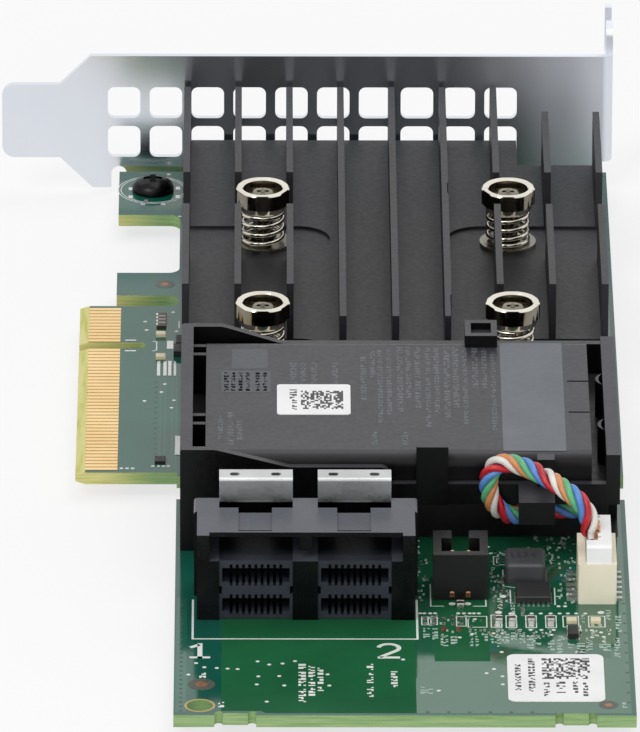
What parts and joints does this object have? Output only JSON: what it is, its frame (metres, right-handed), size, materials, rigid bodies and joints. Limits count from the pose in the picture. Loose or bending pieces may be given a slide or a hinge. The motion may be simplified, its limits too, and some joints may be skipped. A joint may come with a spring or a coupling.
{
  "type": "raid controller card",
  "caption": "Low-profile storage controller card with a finned heatsink, a battery pack in a tray and a double port.",
  "frame": {"origin": "middle of the edge connector's key notch, at the connector's lower edge and the board's upper face", "axes": "+X away from the edge connector across the board, +Y towards the bracket, +Z out of the component side"},
  "size_m": [0.0792, 0.18, 0.0225],
  "materials": {
    "board_green": "solder mask over fibreglass, satin",
    "gold_plate": "gold plated",
    "bracket_steel": "bright plated steel",
    "screw_nickel": "nickel plated",
    "screw_black": "black oxide",
    "spring_steel": "drawn wire",
    "nut_steel": "plated",
    "sink_black": "black anodised",
    "chip_black": "moulded resin",
    "thermal_pad": "soft gap filler",
    "tray_plastic": "fine moulded grain",
    "pack_wrap": "satin film wrap",
    "label_white": "printed paper label",
    "lead_wires": "six coloured insulated wires",
    "plug_white": "moulded nylon",
    "socket_cream": "moulded nylon",
    "port_plastic": "moulded resin",
    "block_plastic": "moulded resin",
    "cover_steel": "stamped sheet",
    "solder_metal": "tinned",
    "header_plastic": "moulded resin",
    "ferrite_grey": "pressed ferrite",
    "ceramic_tan": "fired ceramic",
    "ceramic_cream": "fired ceramic"
  },
  "bodies": {
    "root": {"circuit_board": "board_green", "edge_contacts": "gold_plate", "bracket": "bracket_steel", "bracket_screws": "screw_black", "heatsink": "sink_black", "heatsink_screws": "screw_nickel", "heatsink_springs": "spring_steel", "heatsink_washers": "spring_steel", "board_nuts": "nut_steel", "controller_chip": "chip_black", "controller_thermal_pad": "thermal_pad", "memory_chips": "chip_black", "memory_thermal_pads": "thermal_pad", "battery_pack": "pack_wrap", "battery_code_label": "label_white", "battery_tray": "tray_plastic", "battery_lead": "lead_wires", "battery_plug": "plug_white", "battery_socket": "socket_cream", "battery_socket_leads": "solder_metal", "port_housing": "port_plastic", "port_1_contact_block": "block_plastic", "port_2_contact_block": "block_plastic", "port_1_contacts": "solder_metal", "port_2_contacts": "solder_metal", "port_1_cover_plate": "cover_steel", "port_2_cover_plate": "cover_steel", "jumper_header": "header_plastic", "jumper_pins": "gold_plate", "power_inductor": "ferrite_grey", "regulator_chip": "chip_black", "regulator_leads": "solder_metal", "chip_capacitors": "ceramic_tan", "chip_resistors": "ceramic_cream", "resistor_array": "ceramic_tan", "small_transistor": "chip_black", "logic_chip": "chip_black", "side_chips": "chip_black", "board_label": "label_white", "side_label": "label_white"}
  },
  "joints": []
}
